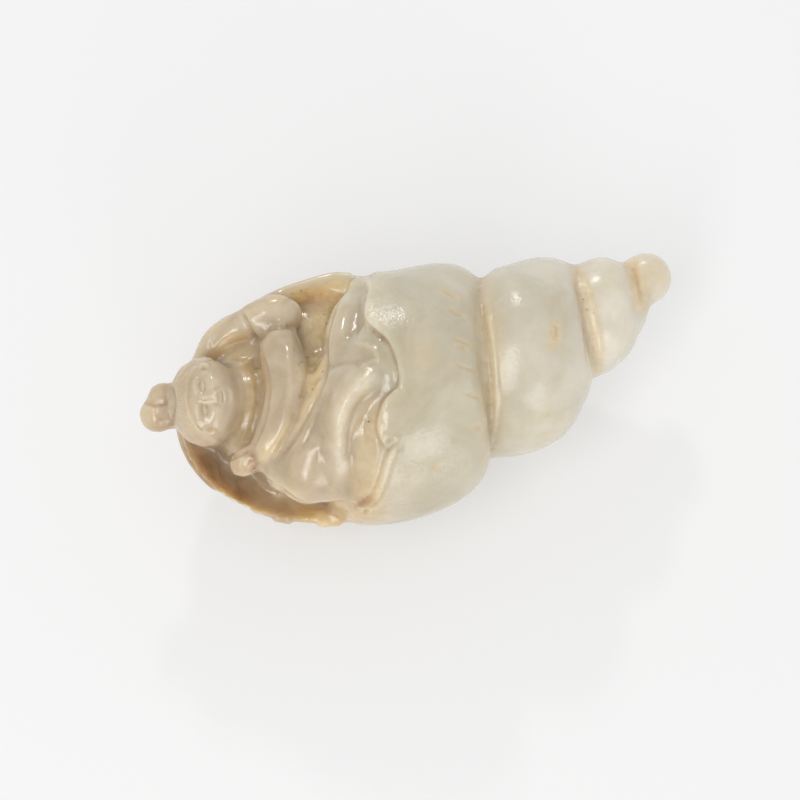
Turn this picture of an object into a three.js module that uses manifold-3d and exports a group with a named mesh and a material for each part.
// Carved jade pendant: a snail shell lying on its back, and a figure who leans out of its mouth.
// The whole object is one pebble of nephrite, so it is one solid.
// Millimetres, +Z up. The shell's long axis runs along X, with the spire towards +X and the mouth
// towards -X. While it is being carved, the model has its origin on the shell's axis, in the middle
// of the largest whorl. The last lines move the origin to the middle of the underside.
import * as THREE from "three";
import { mergeVertices } from "three/addons/utils/BufferGeometryUtils.js";
import Module from "manifold-3d";

const wasm = await Module();
wasm.setup();

// Driving dimensions

// The shell's middle line bends a little in plan, as [x, y].
const SPINE = [[-16, 2.3], [-8, 1.6], [0, 0.4], [6, 1.05], [13.2, 1.15], [18.5, 2.45], [23.5, 2.95], [28.6, 3.2]];
// Radius of the shell over the crowns of its whorls, as [distance along x, radius].
const CROWNS = [[-16, 0], [-13.5, 9], [-11, 12.4], [-8, 13.9], [-5, 14.2], [-2, 14.1], [2, 13.5], [6, 12.0],
  [10, 11.5], [13.2, 10.7], [17, 8.75], [20, 7.45], [23.1, 6.25], [25.5, 4.9], [27.5, 2.4], [28.4, 0]];
// The last half whorl has no groove left on it: its outside is one long smooth bowl.
const BOWL = { centre: [-7, 1.8, 0], radii: [18.9, 13.5, 13.9], turn: -3.5, facets: 34 };
const BOWL_END = -6; // beyond this x the wound shell takes over
const SUTURE_START = 29.1; // where the groove between whorls begins, near the tip of the spire
const SUTURE_RUN = 2.45; // the groove lies this far down the shell, in mm per turn squared
const SUTURE_PHASE = 110; // degrees round the shell from +Y where SUTURE_START is measured
// Depth of the groove as a share of the radius, as [x, share].
const SUTURE_DEPTH = [[-14, 0], [-5, 0.04], [2, 0.2], [8, 0.28], [20, 0.27], [27, 0.12], [29, 0]];
const SUTURE_WORN = 0.5; // share of its depth that is worn away underneath
const WHORL_LEAN = 0.68; // below 1, the crown of a whorl sits nearer to the spire's side of it
const WHORL_FULLNESS = 0.8; // below 1, a whorl is fuller and its grooves are narrower
const TIP_BALL = { centre: [28.6, 4.7, 0], radii: [2.95, 2.95, 2.95], facets: 20 };
const REST_DEPTH = 12.8; // from the axis down to the small flat that the shell lies on

const MOUTH_TILT = 16; // degrees that the mouth's rim leans towards -Y
// The edge of the mouth where it crosses the largest whorl, in the rim's own plane, as [x, y].
const MOUTH_EDGE = [[-5, 19], [-2.6, 14.5], [-1.9, 12], [-2.8, 10.4], [-3.7, 8.6], [-3.3, 7.2], [-2.3, 5.9],
  [-2, 3.6], [-2.6, 1], [-3.1, -0.2], [-4.4, -0.8], [-5.3, -2.3], [-5.9, -4.7], [-4.3, -5.1], [-5.2, -6.8],
  [-6.7, -9.3], [-8.8, -10.6], [-12, -11.3], [-15.5, -11.6], [-20, -13]];
// The hollows inside the mouth, also in the rim's own plane: the bowl, and its corner beside the whorl.
const HOLLOWS = [
  { centre: [-12.7, 2.1, 0.6], radii: [12.2, 12.2, 4.6], facets: 26 },
  { centre: [-7.6, 7.6, 1.0], radii: [5.4, 6.9, 3.4], facets: 18 },
];

// The figure's rounded masses.
const HEAD = { centre: [-22.0, 4.2, 4.5], radii: [3.85, 4.95, 3.5], turn: -12, facets: 22 };
const NEAR_KNOT = { centre: [-27.3, 5.0, 3.0], radii: [2.05, 2.05, 1.9], facets: 14 };
const FAR_KNOT = { centre: [-26.2, 6.7, 3.2], radii: [1.65, 1.65, 1.65], facets: 12 };
const HAIR_BAND = { centre: [-25.3, 5.2, 3.2], radii: [1.1, 2.6, 1.9], turn: -12, facets: 12 };
const NECK = { centre: [-20.3, 3.6, 0.2], radii: [3.2, 3.4, 5.4], facets: 14 };
const SHOULDERS = { centre: [-17.9, 3.4, -0.3], radii: [4.0, 6.0, 6.0], turn: -12, facets: 18 };
const TRUNK = { centre: [-12.4, 1.2, -1.6], radii: [6.6, 8.6, 7.0], turn: -14, facets: 20 };
const FIST = { centre: [-19.8, -3.4, 3.9], radii: [2.1, 1.6, 1.7], turn: 15, facets: 12 };
const HIP = { centre: [-4.3, 1.6, 8.8], radii: [2.9, 3.4, 3.0], turn: 20, facets: 16 };
const LAP = { centre: [-5.5, -3, 0], radii: [8.5, 10.2, 10.8], facets: 22 };
// Mounds left on the floor of the bowl, under the far hand and behind the sleeve.
const HAND_FLOOR = { centre: [-16.0, 8.6, -1.2], radii: [6.4, 4.2, 4.8], facets: 16 };
const CORNER_FLOOR = { centre: [-9.0, 8.4, -2.4], radii: [6.0, 7.0, 5.4], facets: 16 };

// The figure's limbs, as stations [x, y, z, radius] along each one.
const ARM = [[-12.5, 8.0, 4.9, 2.3], [-12.8, 6.0, 5.6, 2.5], [-13.2, 3.1, 6.2, 2.4], [-14.9, -0.4, 6.2, 2.2],
  [-17.2, -2.9, 5.4, 1.9]];
const FOREARM = [[-10.7, 11.1, 4.8, 1.8], [-11.9, 11.8, 4.9, 1.9], [-14.2, 11.7, 4.5, 1.9]];
const HAND = [[-15.6, 11.7, 3.9, 1.6], [-17.3, 11.7, 3.4, 1.6], [-19.2, 11.0, 2.9, 1.5], [-20.7, 10, 2.3, 1.1]];
const THIGH = [[-13.6, -6.3, 3.8, 3.8], [-12.0, -4.4, 5.2, 3.7], [-9.9, -2.1, 6.8, 3.4],
  [-7.3, -0.3, 8.4, 2.9], [-4.6, 0.8, 9.6, 2.4]];
const THIGH_RIDGE = [[-11.9, -8.2, 3.8, 2.4], [-11.0, -7.3, 5.3, 2.3], [-10.2, -5.9, 7.1, 2.2],
  [-9.4, -4.3, 8.8, 2.2], [-8.1, -2.7, 10.3, 2.1], [-6.1, -1.5, 10.9, 2.0], [-4.2, -0.6, 11.0, 1.7]];
const THIGH_SLOPE = [[-16.2, -5.6, 3.6, 2.3], [-14.5, -3.9, 4.7, 2.2], [-12.3, -1.5, 5.8, 2.0],
  [-9.8, 1.0, 6.8, 1.7], [-8.0, 2.9, 7.6, 1.5]];
const FOOT = [[-3.6, 10.2, 6.4, 0.9], [-4.8, 8.3, 7.4, 1.5], [-6.2, 5.7, 8.3, 1.8], [-6.9, 2.8, 8.6, 2.0]];
const ROBE_FOLD = [[-3.9, 3.0, 10.2, 1.9], [-3.0, 0.7, 11.2, 1.9], [-3.3, -1.7, 11.2, 1.7]];
// The robe under the foot, and along the ragged edge of the mouth.
const FOOT_BED = [[-2.4, 11.2, 5.2, 1.4], [-2.9, 9.0, 6.6, 1.6], [-3.7, 6.5, 7.6, 1.9], [-4.2, 3.9, 8.4, 2.0]];
const EDGE_BED = [[-3.5, -2.6, 9.7, 2.4], [-5.4, -5.6, 8.8, 2.2], [-5.9, -7.8, 7.2, 2.2], [-7.2, -9.7, 5.2, 2.1],
  [-8.5, -10.8, 3.5, 2.0]];

const AROUND = 39; // facets round the shell
const CLEAR = 40; // cutting shapes reach this far past the stone
const ROWS_PER_TURN = 11; // rows of facets between one groove and the next

// Solids from three.js geometry

function solid(geometry) {
  const bare = geometry.clone();
  bare.deleteAttribute("normal");
  bare.deleteAttribute("uv");
  const merged = mergeVertices(bare, 1e-4);
  const corners = [];
  for (let i = 0; i < merged.index.count; i += 3) {
    const [a, b, c] = [0, 1, 2].map((k) => merged.index.getX(i + k));
    if (a !== b && b !== c && c !== a) corners.push(a, b, c);
  }
  return new wasm.Manifold(new wasm.Mesh({
    numProp: 3,
    vertProperties: new Float32Array(merged.attributes.position.array),
    triVerts: new Uint32Array(corners),
  }));
}

// An ellipsoid, turned in plan, then leaned about the X axis with its centre.
function ellipsoid({ centre, radii, turn = 0, lean = 0, facets = 20 }) {
  const ball = new THREE.SphereGeometry(1, facets, Math.round(facets * 0.6));
  ball.scale(...radii);
  ball.rotateZ(THREE.MathUtils.degToRad(turn));
  ball.translate(...centre);
  ball.rotateX(THREE.MathUtils.degToRad(lean));
  return solid(ball);
}

// A rounded limb through stations [x, y, z, radius].
function limb({ stations, facets = 10, steps = 8 }) {
  const line = new THREE.CatmullRomCurve3(stations.map(([x, y, z]) => new THREE.Vector3(x, y, z)));
  const sizes = new THREE.CatmullRomCurve3(stations.map((s) => new THREE.Vector3(s[3], 0, 0)));
  const body = new THREE.CapsuleGeometry(1, 1, 3, facets, steps);
  const place = body.attributes.position;
  const up = new THREE.Vector3(0, 0, 1);
  for (let i = 0; i < place.count; i++) {
    const along = THREE.MathUtils.clamp(place.getY(i) + 0.5, 0, 1);
    const past = place.getY(i) + 0.5 - along;
    const size = sizes.getPoint(along).x;
    const run = line.getTangent(along);
    const side = new THREE.Vector3().crossVectors(up, run).normalize();
    const lift = new THREE.Vector3().crossVectors(run, side);
    const point = line.getPoint(along)
      .addScaledVector(run, past * size)
      .addScaledVector(side, place.getX(i) * size)
      .addScaledVector(lift, -place.getZ(i) * size);
    place.setXYZ(i, point.x, point.y, point.z);
  }
  return solid(body);
}

// The shell

const spine = new THREE.CatmullRomCurve3(SPINE.map(([x, y]) => new THREE.Vector3(x, y, 0)));
const crowns = new THREE.SplineCurve(CROWNS.map(([x, r]) => new THREE.Vector2(x, r)));
const depths = new THREE.SplineCurve(SUTURE_DEPTH.map(([x, d]) => new THREE.Vector2(x, d)));

// The place on a curve that runs towards +X where it reaches x, found by halving.
function shareAt(curve, x) {
  let low = 0;
  let high = 1;
  for (let i = 0; i < 24; i++) {
    const middle = (low + high) / 2;
    if (curve.getPoint(middle).x < x) low = middle;
    else high = middle;
  }
  return (low + high) / 2;
}

// The shell is wound like a real one: its rows of facets follow the spiral groove, so each row meets
// itself one whorl further on after a full turn.
function shellSolid() {
  const [mouthEnd, spireEnd] = [CROWNS[0][0], CROWNS.at(-1)[0]];
  const turnsTo = (x) => Math.sqrt((SUTURE_START - x) / SUTURE_RUN);
  const [first, last] = [turnsTo(spireEnd), turnsTo(mouthEnd)];
  const rowFirst = Math.floor((first - 1) * ROWS_PER_TURN);
  const rows = Math.ceil(last * ROWS_PER_TURN) + 1 - rowFirst;
  const skin = new THREE.PlaneGeometry(1, 1, AROUND, rows);
  const place = skin.attributes.position;
  for (let i = 0; i < place.count; i++) {
    const round = (i % (AROUND + 1)) / AROUND;
    const across = (rowFirst + Math.floor(i / (AROUND + 1))) / ROWS_PER_TURN;
    const turns = THREE.MathUtils.clamp(across + round, first, last);
    const closed = turns === first || turns === last;
    const x = SUTURE_START - SUTURE_RUN * turns * turns;
    const crown = closed ? 0 : crowns.getPoint(shareAt(crowns, x)).y;
    const angle = THREE.MathUtils.degToRad(SUTURE_PHASE + 360 * round);
    const worn = 1 - SUTURE_WORN * Math.max(-Math.sin(angle), 0) ** 2;
    const depth = worn * Math.max(depths.getPoint(shareAt(depths, x)).y, 0);
    const share = across - Math.floor(across + 1e-6);
    const swell = Math.max(Math.sin(Math.PI * Math.max(share, 0) ** WHORL_LEAN), 0) ** WHORL_FULLNESS;
    const radius = crown * (1 - depth * (1 - swell));
    const nearest = shareAt(spine, x);
    const run = spine.getTangent(nearest);
    const side = new THREE.Vector3(-run.y, run.x, 0);
    const point = spine.getPoint(nearest).addScaledVector(side, Math.cos(angle) * radius);
    place.setXYZ(i, point.x, point.y, Math.sin(angle) * radius);
  }
  return solid(skin);
}

function mouthCutter() {
  const edge = new THREE.SplineCurve(MOUTH_EDGE.map(([x, y]) => new THREE.Vector2(x, y)));
  const corners = [[-CLEAR, MOUTH_EDGE.at(-1)[1]], [-CLEAR, MOUTH_EDGE[0][1]]];
  const closing = corners.map(([x, y]) => new THREE.Vector2(x, y));
  const outline = new THREE.Shape([...edge.getPoints(48), ...closing]);
  const cutter = new THREE.ExtrudeGeometry(outline, { depth: CLEAR, bevelEnabled: false });
  cutter.rotateX(THREE.MathUtils.degToRad(MOUTH_TILT));
  return solid(cutter);
}

// The figure

// Everything overlaps its neighbours, and the trunk and the lap stand on the floor of the bowl.
const figure = [
  ...[HEAD, NEAR_KNOT, FAR_KNOT, HAIR_BAND, NECK, SHOULDERS, TRUNK].map(ellipsoid),
  ...[FIST, HIP, LAP, HAND_FLOOR, CORNER_FLOOR].map(ellipsoid),
  limb({ stations: ARM }),
  limb({ stations: FOREARM, steps: 5 }),
  limb({ stations: HAND, steps: 6 }),
  limb({ stations: THIGH, facets: 12 }),
  limb({ stations: THIGH_RIDGE }),
  limb({ stations: THIGH_SLOPE }),
  limb({ stations: FOOT }),
  limb({ stations: ROBE_FOLD, steps: 5 }),
  limb({ stations: FOOT_BED, steps: 5 }),
  limb({ stations: EDGE_BED, steps: 6 }),
];

const bowlSide = new THREE.BoxGeometry(CLEAR, 2 * CLEAR, 2 * CLEAR).translate(BOWL_END - CLEAR / 2, 0, 0);
const table = new THREE.BoxGeometry(3 * CLEAR, 2 * CLEAR, CLEAR).translate(0, 0, -REST_DEPTH - CLEAR / 2);

let pebble = shellSolid().add(ellipsoid(BOWL).intersect(solid(bowlSide)));
pebble = pebble.add(ellipsoid(TIP_BALL));
pebble = pebble.subtract(mouthCutter());
for (const hollow of HOLLOWS) pebble = pebble.subtract(ellipsoid({ ...hollow, lean: MOUTH_TILT }));
for (const piece of figure) pebble = pebble.add(piece);
pebble = pebble.subtract(solid(table));

// The part

function geometryOf(made) {
  const mesh = made.getMesh();
  const geometry = new THREE.BufferGeometry();
  geometry.setAttribute("position", new THREE.BufferAttribute(mesh.vertProperties, 3));
  geometry.setIndex(new THREE.BufferAttribute(mesh.triVerts, 1));
  return geometry;
}

const jade = new THREE.MeshStandardMaterial({ color: 0xcfc4a8, roughness: 0.25, metalness: 0 });
const carving = new THREE.Mesh(geometryOf(pebble), jade);
carving.name = "jade_carving";

const box = new THREE.Box3().setFromObject(carving);
const middle = box.getCenter(new THREE.Vector3());
carving.position.set(-middle.x, -middle.y, -box.min.z);

const pendant = new THREE.Group();
pendant.add(carving);

export default pendant;
